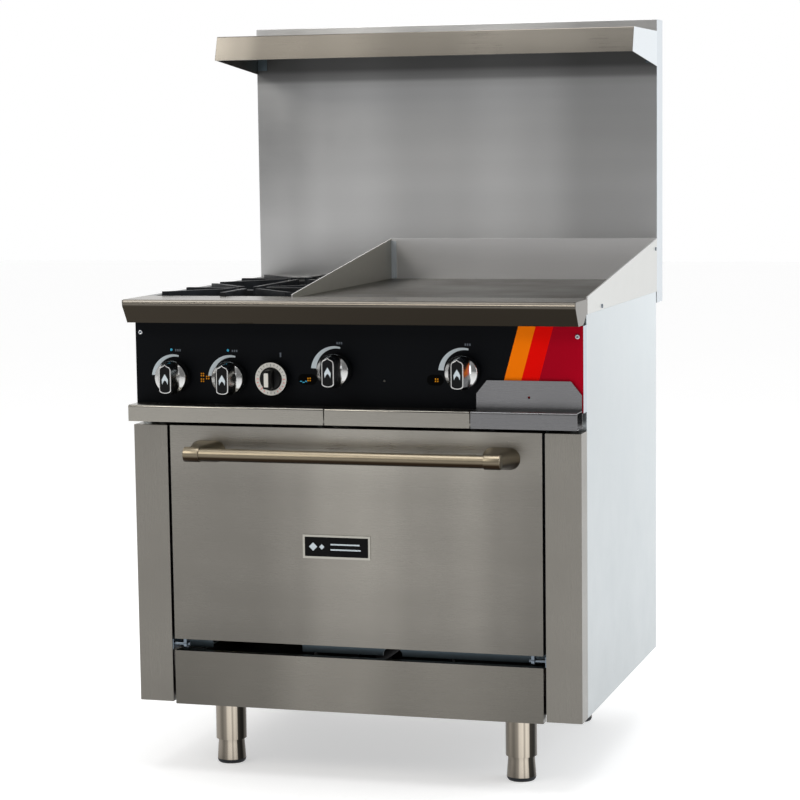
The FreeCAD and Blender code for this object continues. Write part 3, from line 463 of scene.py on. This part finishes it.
# pale, half matt steel for the joint strip: partly a painted highlight
STRIP = brushed("strip_steel", srgb(214, 222, 230), "Z", rough=0.25, contrast=0.04, metal=0.3).material
RUBBER = plain("rubber_black", srgb(20, 24, 30), rough=0.5, specular=0.3).material


def flat_ink(name, colour):
    """Printing ink: matt and even."""
    return plain(name, colour, rough=0.42, variation=0.03, grit=80.0, depth=0.00001, specular=0.04).material


INKS = {
    "orange": flat_ink("ink_orange", srgb(255, 124, 0)),
    "red": flat_ink("ink_red", srgb(234, 6, 0)),
    "crimson": flat_ink("ink_crimson", srgb(168, 0, 28)),
    "white": flat_ink("ink_white", srgb(196, 206, 212)),
    "grey": flat_ink("ink_grey", srgb(96, 102, 110)),
    "blue": flat_ink("ink_blue", srgb(70, 170, 205)),
    "amber": flat_ink("ink_amber", srgb(214, 138, 16)),
}


def dress(name, material):
    """Give a CAD node its material in every slot."""
    mesh = NODES[name].data
    mesh.materials.clear()
    mesh.materials.append(material)


for part in frame["record"]["subparts"]:
    dress(part["node"], MATERIALS[part["material_slot"]])
for names, material in (
    (("stile_left", "stile_right"), UPRIGHT),
    (("crumb_tray", "griddle_tray"), LEDGE),
    (("grease_drawer",), DRAWER),
    (("kick_panel",), KICK),
    (("high_shelf",), SHELF.material),
    (("backguard_front",), GUARD.material),
    (("shelf_brackets",), MATERIALS["frame_steel"]),
    (("griddle_splash",), SPLASH),
    (("oven_burner", "flame_spreader"), SCALE_AND_SHADE),
):
    for name in names:
        dress(name, material)


# ---------------------------------------------------------------- mesh helpers

def piece(name, points, faces, material, body, slot, smooth=False, at=(0, 0, 0)):
    """A mesh object from points in metres that rides on a body."""
    mesh = bpy.data.meshes.new(name)
    mesh.from_pydata([tuple(p) for p in points], [], faces)
    build = bmesh.new()
    build.from_mesh(mesh)
    bmesh.ops.recalc_face_normals(build, faces=build.faces)
    build.to_mesh(mesh)
    build.free()
    if smooth:
        mesh.polygons.foreach_set("use_smooth", [True] * len(mesh.polygons))
    mesh.materials.append(material)
    made = bpy.data.objects.new(name, mesh)
    SCENE.collection.objects.link(made)
    made.location = at
    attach(made, body)
    return made


def merged(parts):
    """Join several (points, faces) pairs into one."""
    points, faces = [], []
    for more_points, more_faces in parts:
        start = len(points)
        points += more_points
        faces += [tuple(start + i for i in face) for face in more_faces]
    return points, faces


def slab(outline, front, thick):
    """A flat shape in XZ, given as (x, z) corners, with its face at y = front."""
    count = len(outline)
    points = [(x, front, z) for x, z in outline] + [(x, front + thick, z) for x, z in outline]
    faces = [tuple(range(count)), tuple(range(2 * count - 1, count - 1, -1))]
    faces += [(i, (i + 1) % count, count + (i + 1) % count, count + i) for i in range(count)]
    return points, faces


def loft(rings):
    """Skin a list of rings that have the same number of points, and cap both ends."""
    count = len(rings[0])
    points = [p for ring in rings for p in ring]
    faces = []
    for level in range(len(rings) - 1):
        near, far = level * count, (level + 1) * count
        for i in range(count):
            j = (i + 1) % count
            faces.append((near + i, near + j, far + j, far + i))
    faces.append(tuple(range(count)))
    faces.append(tuple(range(len(points) - count, len(points))))
    return points, faces


def revolve(steps, count=64):
    """A solid of revolution about Y from (radius, y) steps."""
    return loft([[(x, y, z) for x, z in circle(radius, count)] for radius, y in steps])


def blend(first, second, share):
    return first + (second - first) * share


def circle(radius, count=64, start=0.0):
    """Points round a circle, anticlockwise from the start angle."""
    angles = [start + 2 * math.pi * i / count for i in range(count)]
    return [(radius * math.cos(angle), radius * math.sin(angle)) for angle in angles]


def oblong(x, z, half_x, half_z):
    """A rectangle's outline in XZ, from its middle and half its sides."""
    return [(x - half_x, z - half_z), (x + half_x, z - half_z),
            (x + half_x, z + half_z), (x - half_x, z + half_z)]


def rounded(half_x, half_z, radius, steps=6):
    """A rounded rectangle's outline in XZ, starting at the top middle."""
    points = [(0.0, half_z)]
    corners = ((1, 1, 90), (1, -1, 0), (-1, -1, -90), (-1, 1, -180))
    for sign_x, sign_z, turn in corners:
        for i in range(steps + 1):
            angle = math.radians(turn - 90 * i / steps)
            points.append((sign_x * (half_x - radius) + radius * math.cos(angle),
                           sign_z * (half_z - radius) + radius * math.sin(angle)))
    return points


def moved(outline, x, z):
    return [(x + point_x, z + point_z) for point_x, point_z in outline]


def resample(outline, count):
    """The same closed outline with evenly spaced points, starting at its first."""
    lengths = [0.0]
    closed = outline + outline[:1]
    for (x0, z0), (x1, z1) in zip(closed, closed[1:]):
        lengths.append(lengths[-1] + math.hypot(x1 - x0, z1 - z0))
    made = []
    for i in range(count):
        goal = lengths[-1] * i / count
        k = max(j for j, length in enumerate(lengths) if length <= goal)
        share = (goal - lengths[k]) / max(1e-9, lengths[k + 1] - lengths[k])
        (x0, z0), (x1, z1) = closed[k], closed[k + 1]
        made.append((blend(x0, x1, share), blend(z0, z1, share)))
    return made


def arc_band(centre, radius, widths, span, steps=28):
    """A flat band outside an arc in XZ, whose width changes evenly from one end to the other."""
    outer, inner = [], []
    for i in range(steps + 1):
        share = i / steps
        angle = math.radians(blend(span[0], span[1], share))
        reach = radius + widths[0] + (widths[1] - widths[0]) * share
        outer.append((centre[0] + reach * math.cos(angle), centre[1] + reach * math.sin(angle)))
        inner.append((centre[0] + radius * math.cos(angle), centre[1] + radius * math.sin(angle)))
    return outer + inner[::-1]


def quad_strip(outline, front, thick):
    """Like slab, for a long bent outline made of two matching edges."""
    count = len(outline) // 2
    edge, back = outline[:count], outline[count:][::-1]
    return merged([slab([edge[i], edge[i + 1], back[i + 1], back[i]], front, thick)
                   for i in range(count - 1)])


def round_edges(thing, width, angle, segments=2):
    """Round the edges that are sharper than an angle in degrees."""
    bevel = thing.modifiers.new("edges", "BEVEL")
    bevel.width = width
    bevel.segments = segments
    bevel.limit_method = "ANGLE"
    bevel.angle_limit = math.radians(angle)
    return bevel


def soften(name, width, segments=2):
    """Round a CAD node's sharp edges with modifiers, leaving its mesh alone."""
    thing = NODES[name]
    weld = thing.modifiers.new("weld", "WELD")
    weld.merge_threshold = 0.00001
    round_edges(thing, width, 35, segments).harden_normals = True


def middle(name):
    low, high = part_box(name)
    return (low + high) / 2


# ---------------------------------------------------------------- printed panel

PANEL_LOW, PANEL_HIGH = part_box("control_panel")
INK = 0.00018                       # thickness of the print
FACE = PANEL_LOW.y - 0.0002         # its outer face
KNOBS = {
    "burner_knob_front": "knob_burner_front",
    "burner_knob_rear": "knob_burner_rear",
    "griddle_knob_left": "knob_griddle_left",
    "griddle_knob_right": "knob_griddle_right",
}


def ink(outline):
    """A printed shape on the panel's face."""
    return slab(outline, FACE, INK)


def printed(name, shapes, material):
    piece(name, *merged(shapes), material, "range", "panel_black")


def make_stripes():
    """Three slanted bands that fill the panel's right end."""
    top, foot = PANEL_HIGH.z - 0.0004, PANEL_LOW.z + 0.0004
    right = PANEL_HIGH.x - 0.0003
    lean = 0.276 * (top - foot)
    orange, red, crimson = 0.3306, 0.3646, 0.3995
    for name, start, end, end_foot in (("orange", orange, red, red - lean),
                                       ("red", red, crimson, crimson - lean),
                                       ("crimson", crimson, right, right)):
        outline = [(start, top), (end, top), (end_foot, foot), (start - lean, foot)]
        printed(f"panel_band_{name}", [ink(outline)], INKS[name])


def make_marks():
    """Arcs round the knobs, off marks, burner-place signs and the dial's index."""
    arcs, offs, blues, windows, signs = [], [], [], [], []
    for node in KNOBS:
        spot = middle(node)
        open_burner = node.startswith("burner")
        inner = 0.0398 if open_burner else 0.0420
        arcs.append(quad_strip(arc_band((spot.x, spot.z), inner, (0.0110, 0.0034), (177, 80)), FACE, INK))
        for step in (-1, 0, 1):
            offs.append(ink(oblong(spot.x + 0.006 + 0.0045 * step, spot.z + 0.0525, 0.0014, 0.0022)))
        if open_burner:
            blues.append(ink(moved(circle(0.0026, 12), spot.x - 0.008, spot.z + 0.0535)))
    # three clusters of dots for an open burner, or one in a dark window for a griddle burner
    for node, reach, drop, half in (("burner_knob_rear", 0.0575, 0.0010, 0.0),
                                    ("griddle_knob_left", 0.0605, 0.0195, 0.0195),
                                    ("griddle_knob_right", 0.0590, 0.0170, 0.0170)):
        spot = middle(node)
        x, z = spot.x - reach, spot.z - drop
        clusters = ((-0.0055, 0.0055), (0.0055, 0.0), (-0.0055, -0.0055))
        if half:
            windows.append(slab(moved(rounded(half, 0.0105, 0.0104), x, z), FACE + INK / 2, INK))
            clusters = ((half * 0.15, 0.0),)
        for left, up in clusters:
            for dx, dz in ((-0.0022, 0.0022), (0.0022, 0.0022), (-0.0022, -0.0022), (0.0022, -0.0022)):
                signs.append(ink(moved(circle(0.0015, 10), x + left + dx, z + up + dz)))
    spot = middle("griddle_knob_left")
    for dx, dz in ((-0.074, -0.0235), (-0.069, -0.0255), (-0.064, -0.0235)):
        blues.append(ink(moved(rounded(0.0022, 0.0010, 0.0009), spot.x + dx, spot.z + dz)))
    spot = middle("thermostat_dial")
    index = ink(oblong(spot.x + 0.014, spot.z + 0.046, 0.0016, 0.0045))
    printed("panel_windows", windows, GLASS)
    printed("panel_arcs", arcs, INKS["white"])
    printed("panel_off_marks", offs + [index], INKS["grey"])
    printed("panel_pilot_marks", blues, INKS["blue"])
    printed("panel_burner_signs", signs, INKS["amber"])


# ---------------------------------------------------------------- knobs and dial

FLAME = [(0.0, 0.0100), (0.0034, 0.0046), (0.0066, -0.0014), (0.0058, -0.0108), (0.0040, -0.0066),
         (0.0022, -0.0040), (0.0, -0.0024)]         # the right half


def bottle(half_width, height, count=24):
    """A grip's outline in XZ: straight sides, a rounded foot and a low peak at the top."""
    shoulder, foot = height * 0.33, -height * 0.40
    points = [(0.0, height * 0.5), (half_width * 0.30, height * 0.45), (half_width * 0.86, height * 0.40),
              (half_width, shoulder)]
    for i in range(count + 1):
        angle = -math.pi * i / count
        points.append((half_width * math.cos(angle), foot + (height * 0.5 + foot) * math.sin(angle)))
    points += [(-x, z) for x, z in points[3:0:-1]]
    return points


def make_knob(node, body):
    """A chromed skirt that blends into an upright grip, with a black insert and a flame on it."""
    low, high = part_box(node)
    spot = (low + high) / 2
    radius = (high.x - low.x) / 2
    back = (high.y - low.y) / 2
    front = -back
    count, steps = 72, 12
    disc = circle(radius, count, math.pi / 2)
    rim = disc[:1] + disc[:0:-1]                    # from the top, the way the grip's outline runs
    grip = resample(bottle(0.0123, 0.0570), count)
    skirt, skirt_end = 0.95, back - 0.0275
    rings = []
    for share, y in ((0.97, back), (1.0, back - 0.0015), (1.0, back - 0.0235), (0.985, back - 0.0262),
                     (skirt, skirt_end)):
        rings.append([(x * share, y, z * share) for x, z in rim])
    for i in range(1, steps + 1):
        share = i / steps
        y = blend(skirt_end, front, share)
        rings.append([(blend(x * skirt, grip_x, share ** 0.42), y, blend(z * skirt, grip_z, share ** 0.8))
                      for (x, z), (grip_x, grip_z) in zip(rim, grip)])
    rings.append([(x * 0.95, front, z * 0.975) for x, z in grip])
    made = piece(f"{node}_body", *loft(rings), MATERIALS["knob_chrome"], body, "knob_chrome", True, spot)
    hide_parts(node)
    round_edges(made, 0.0006, 38)
    inner = resample(bottle(0.0106, 0.0536), count)
    insert = loft([[(x, front - 0.0001, z) for x, z in inner],
                   [(x * 1.02, front + 0.0012, z * 1.02) for x, z in inner]])
    piece(f"{node}_insert", *insert, INSERT, body, "dial", False, spot)
    mirrored = [(-x, z) for x, z in FLAME[::-1]]
    halves = [slab(half, front - 0.0003, 0.0003) for half in (FLAME, FLAME[:1] + mirrored[:-1])]
    piece(f"{node}_flame", *merged(halves), INKS["white"], body, "knob_chrome", False, spot)


def make_dial():
    """A black drum with an ivory ring, ticks every 15 degrees and an upright grip."""
    low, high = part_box("thermostat_dial")
    spot = Vector(((low.x + high.x) / 2, 0, (low.z + high.z) / 2))
    radius = (high.x - low.x) / 2
    face, tip = high.y - 0.016, low.y
    drum = revolve([(radius - 0.003, high.y), (radius - 0.0008, high.y - 0.0015), (radius, face + 0.002),
                    (radius - 0.0006, face + 0.0006), (radius - 0.0016, face), (0.0215, face),
                    (0.0205, face - 0.0014), (0.0200, face - 0.0036), (0.0180, face - 0.0042)])
    made = piece("dial_drum", *drum, MATERIALS["dial"], "dial", "dial", True, spot)
    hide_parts("thermostat_dial")
    round_edges(made, 0.0004, 40)

    count = 72
    outer, inner = circle(radius - 0.0012, count), circle(0.0232, count)
    front, back = face - 0.0003, face + 0.0002
    loops = ((outer, front), (inner, front), (outer, back), (inner, back))
    points = [(x, y, z) for loop, y in loops for x, z in loop]
    faces = []
    for i in range(count):
        j = (i + 1) % count
        for a, b in ((0, 1), (2, 3), (0, 2), (1, 3)):
            faces.append((a * count + i, a * count + j, b * count + j, b * count + i))
    piece("dial_ring", points, faces, IVORY, "dial", "dial", False, spot)

    ticks, reds = [], []
    half, tick_end = 0.00045, 0.0300
    for i in range(24):
        angle = math.radians(15 * i)
        tick_start = 0.0245 if i % 3 == 0 else 0.0262
        sine, cosine = math.sin(angle), math.cos(angle)
        outline = [(reach * sine + side * cosine, reach * cosine - side * sine)
                   for reach, side in ((tick_start, -half), (tick_start, half),
                                       (tick_end, half), (tick_end, -half))]
        red = 6 <= i <= 10 or 14 <= i <= 18
        (reds if red else ticks).append(slab(outline, face - 0.0005, 0.0003))
    piece("dial_ticks", *merged(ticks), INKS["grey"], "dial", "dial", False, spot)
    piece("dial_red_ticks", *merged(reds), INKS["red"], "dial", "dial", False, spot)

    rings = []
    for share, y in ((1.0, face - 0.0030), (0.98, face - 0.012), (0.95, tip + 0.0016), (0.90, tip + 0.0004),
                     (0.84, tip)):
        outline = resample(rounded(0.0080 * share, 0.0190 * share, 0.0035), 40)
        rings.append([(x, y, z) for x, z in outline])
    piece("dial_grip", *loft(rings), MATERIALS["dial"], "dial", "dial", True, spot)
    pointer = slab(rounded(0.0044, 0.0136, 0.0012), tip, 0.0004)
    piece("dial_pointer", *pointer, IVORY, "dial", "dial", False, spot + Vector((0, -0.0002, 0)))


# ---------------------------------------------------------------- other details

def make_badge():
    """A silver-edged black plate with two plain diamonds and two plain lines."""
    low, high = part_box("door_badge")
    spot = Vector(((low.x + high.x) / 2, low.y, (low.z + high.z) / 2))
    edge = 0.0042
    face = rounded((high.x - low.x) / 2 - edge, (high.z - low.z) / 2 - edge, 0.0015)
    piece("badge_face", *slab(face, -0.0003, 0.0005), PLATE_BLACK, "door", "badge", False, spot)
    marks = [[(x, size), (x + size, 0.0), (x, -size), (x - size, 0.0)]
             for x, size in ((-0.048, 0.0085), (-0.030, 0.0055))]
    marks += [oblong(x, z, half, 0.0014) for x, z, half in ((0.018, 0.0052, 0.030), (0.019, -0.0052, 0.031))]
    shapes = merged([slab(mark, -0.0005, 0.0003) for mark in marks])
    piece("badge_mark", *shapes, INKS["white"], "door", "badge", False, spot)


def make_handle_ends():
    """Cast posts that swell from the bar's socket to a rounded foot on the door."""
    low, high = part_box("handle_brackets")
    bar = middle("handle_bar")
    bar_low, bar_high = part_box("handle_bar")
    radius = (bar_high.z - bar_low.z) / 2
    socket = bar.y - low.y                          # the socket's outer radius
    socket_start, socket_long = 0.287, 0.0320
    count, steps = 56, 14
    for side, sign in (("left", -1), ("right", 1)):
        foot = (sign * 0.300, bar.z - 0.0030)
        head = (sign * 0.3035, bar.z)
        rings = []
        for i in range(steps + 1):
            share = i / steps
            ease = share ** 0.75
            y = blend(high.y, bar.y + 0.003, share)
            half_x, half_z = blend(0.0378, 0.0135, ease), blend(0.0216, 0.0132, ease)
            outline = resample(rounded(half_x, half_z, min(half_x, half_z) * (0.96 - 0.3 * share)), count)
            centre_x, centre_z = blend(foot[0], head[0], ease), blend(foot[1], head[1], ease)
            rings.append([(x, y, z) for x, z in moved(outline, centre_x, centre_z)])
        sleeve = []
        for ring_radius, along in ((radius + 0.0004, 0.0), (socket - 0.0006, 0.0), (socket, 0.0006),
                                   (socket, socket_long - 0.0006), (socket - 0.0008, socket_long),
                                   (0.0002, socket_long)):
            x = sign * socket_start + sign * along
            sleeve.append([(x, bar.y + a, bar.z + b) for a, b in circle(ring_radius, count)])
        made = piece(f"handle_post_{side}", *merged([loft(rings), loft(sleeve)]), MATERIALS["handle_metal"],
                     "door", "handle_metal", True)
        round_edges(made, 0.0005, 40)
        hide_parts("handle_brackets")


def make_foot_caps():
    """A black moulded tread under each adjustable foot."""
    for corner, body in (("front_left", "foot_fl"), ("front_right", "foot_fr"),
                         ("rear_left", "foot_rl"), ("rear_right", "foot_rr")):
        low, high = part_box(f"foot_{corner}")
        spot = Vector(((low.x + high.x) / 2, (low.y + high.y) / 2, low.z))
        radius = (high.x - low.x) / 2
        rings = []
        for reach, z in ((radius - 0.0055, 0.0), (radius - 0.0030, 0.0004), (radius - 0.0012, 0.0026),
                         (radius + 0.0002, 0.0075), (radius - 0.0004, 0.0092), (radius - 0.0020, 0.0094)):
            rings.append([(x, y, z) for x, y in circle(reach, 48)])
        piece(f"foot_cap_{corner}", *loft(rings), RUBBER, body, "dial", True, spot)


def make_joint_strip():
    """The cover strip where the divider meets the splash's back, bright partly as a painted highlight."""
    low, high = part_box("griddle_splash")
    left, right = low.x + 0.0034, low.x + 0.0152
    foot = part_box("griddle_plate")[1].z + 0.0006
    outline = [(left, foot), (right, foot), (right, high.z - 0.006), (left, high.z - 0.004)]
    piece("splash_joint_strip", *slab(outline, high.y - 0.0049, 0.0003), STRIP, "range", "stainless_back")


def make_screw_details():
    """Bright domed heads with a recess over the panel's two screws."""
    across, height = 0.446, 0.891                   # where the screws are
    profile = ((0.0046, -0.0001), (0.0046, -0.0014), (0.0040, -0.0021), (0.0026, -0.0025), (0.0022, -0.0017))
    for side, sign in (("left", -1), ("right", 1)):
        spot = Vector((sign * across, PANEL_LOW.y, height))
        piece(f"panel_screw_{side}", *revolve(profile, 32), MATERIALS["chrome_wire"], "range", "hinge_steel",
              True, spot)


make_stripes()
make_marks()
for knob_node, knob_body in KNOBS.items():
    make_knob(knob_node, knob_body)
make_dial()
make_badge()
make_handle_ends()
make_foot_caps()
make_joint_strip()
make_screw_details()

for name in ("door_outer_panel", "stile_left", "stile_right", "kick_panel", "crumb_tray", "griddle_tray",
             "bullnose_rail", "high_shelf", "backguard_front", "griddle_splash", "griddle_plate",
             "side_panel_left", "side_panel_right", "cooktop_frame"):
    soften(name, 0.0009)
for name in ("grate_front", "grate_rear"):
    soften(name, 0.0022, segments=3)


# ---------------------------------------------------------------- stage, light, camera

def make_floor():
    """A pale, slightly glowing floor just under the feet, so that only a soft shadow shows on it."""
    half = 20.0
    mesh = bpy.data.meshes.new("studio_floor")
    corners = [(-half, -half, 0), (half, -half, 0), (half, half, 0), (-half, half, 0)]
    mesh.from_pydata(corners, [], [(0, 1, 2, 3)])
    floor = bpy.data.objects.new("studio_floor", mesh)
    SCENE.collection.objects.link(floor)
    floor.location = (0, 0, -0.0005)
    paint = plain("floor_paint", (0.7, 0.7, 0.7), rough=0.8, grit=4.0, variation=0.01, specular=0.1)
    paint.feed(paint.shader, "Emission Color", (1.0, 1.0, 1.0, 1.0))
    paint.feed(paint.shader, "Emission Strength", 0.5)
    mesh.materials.append(paint.material)


def area_light(name, location, target, size, watts, colour=(1, 1, 1)):
    """A rectangular lamp turned towards its target."""
    data = bpy.data.lights.new(name, "AREA")
    data.shape = "RECTANGLE"
    data.size, data.size_y = size
    data.energy = watts
    data.color = colour
    lamp = bpy.data.objects.new(name, data)
    SCENE.collection.objects.link(lamp)
    lamp.location = location
    lamp.rotation_euler = (Vector(target) - Vector(location)).to_track_quat("-Z", "Y").to_euler()


def make_world():
    """A soft room, brighter behind the range and dim in front, with a white backdrop all round."""
    world = bpy.data.worlds.new("studio")
    SCENE.world = world
    world.use_nodes = True
    nodes, links = world.node_tree.nodes, world.node_tree.links
    nodes.clear()
    output = nodes.new("ShaderNodeOutputWorld")
    background = nodes.new("ShaderNodeBackground")
    links.new(background.outputs[0], output.inputs[0])
    apart = nodes.new("ShaderNodeSeparateXYZ")
    links.new(nodes.new("ShaderNodeTexCoord").outputs["Generated"], apart.inputs[0])
    room = nodes.new("ShaderNodeMapRange")
    for key, value in (("From Min", -0.6), ("From Max", 0.5), ("To Min", 0.25), ("To Max", 1.0)):
        room.inputs[key].default_value = value
    links.new(apart.outputs["Y"], room.inputs["Value"])
    # the backdrop itself is never dimmer than white, whichever side it is seen from
    strength = nodes.new("ShaderNodeMath")
    strength.operation = "MAXIMUM"
    links.new(room.outputs[0], strength.inputs[0])
    links.new(nodes.new("ShaderNodeLightPath").outputs["Is Camera Ray"], strength.inputs[1])
    links.new(strength.outputs[0], background.inputs["Strength"])
    background.inputs["Color"].default_value = (1.0, 1.0, 1.0, 1.0)


def make_camera():
    """A long lens in front and a little to the right, looking slightly down."""
    yaw, pitch, roll = (math.radians(v) for v in (16.759, 6.927, -0.732))
    ahead = Vector((-math.sin(yaw), math.cos(yaw), 0))
    right = Vector((math.cos(yaw), math.sin(yaw), 0))
    up = Vector((0, 0, 1))
    forward = ahead * math.cos(pitch) - up * math.sin(pitch)
    above = up * math.cos(pitch) + ahead * math.sin(pitch)
    side = right * math.cos(roll) + above * math.sin(roll)
    top = above * math.cos(roll) - right * math.sin(roll)
    data = bpy.data.cameras.new("camera")
    data.lens = 111.1
    data.shift_y = 0.05
    camera = bpy.data.objects.new("camera", data)
    SCENE.collection.objects.link(camera)
    camera.matrix_world = Matrix((side, top, -forward)).transposed().to_4x4()
    camera.location = (1.4666, -4.9120, 1.2651)
    SCENE.camera = camera


make_floor()
area_light("key", (-2.6, -3.4, 3.4), (0, 0, 0.7), (2.4, 1.6), 60, (1.0, 0.96, 0.9))
area_light("right_window", (3.6, 0.6, 1.8), (0, 0, 0.7), (2.6, 2.6), 60, (0.9, 0.96, 1.0))
area_light("top", (0.2, -0.6, 3.6), (0, 0, 0.9), (2.6, 2.0), 50)
make_world()
make_camera()
SCENE.view_settings.view_transform = "Standard"
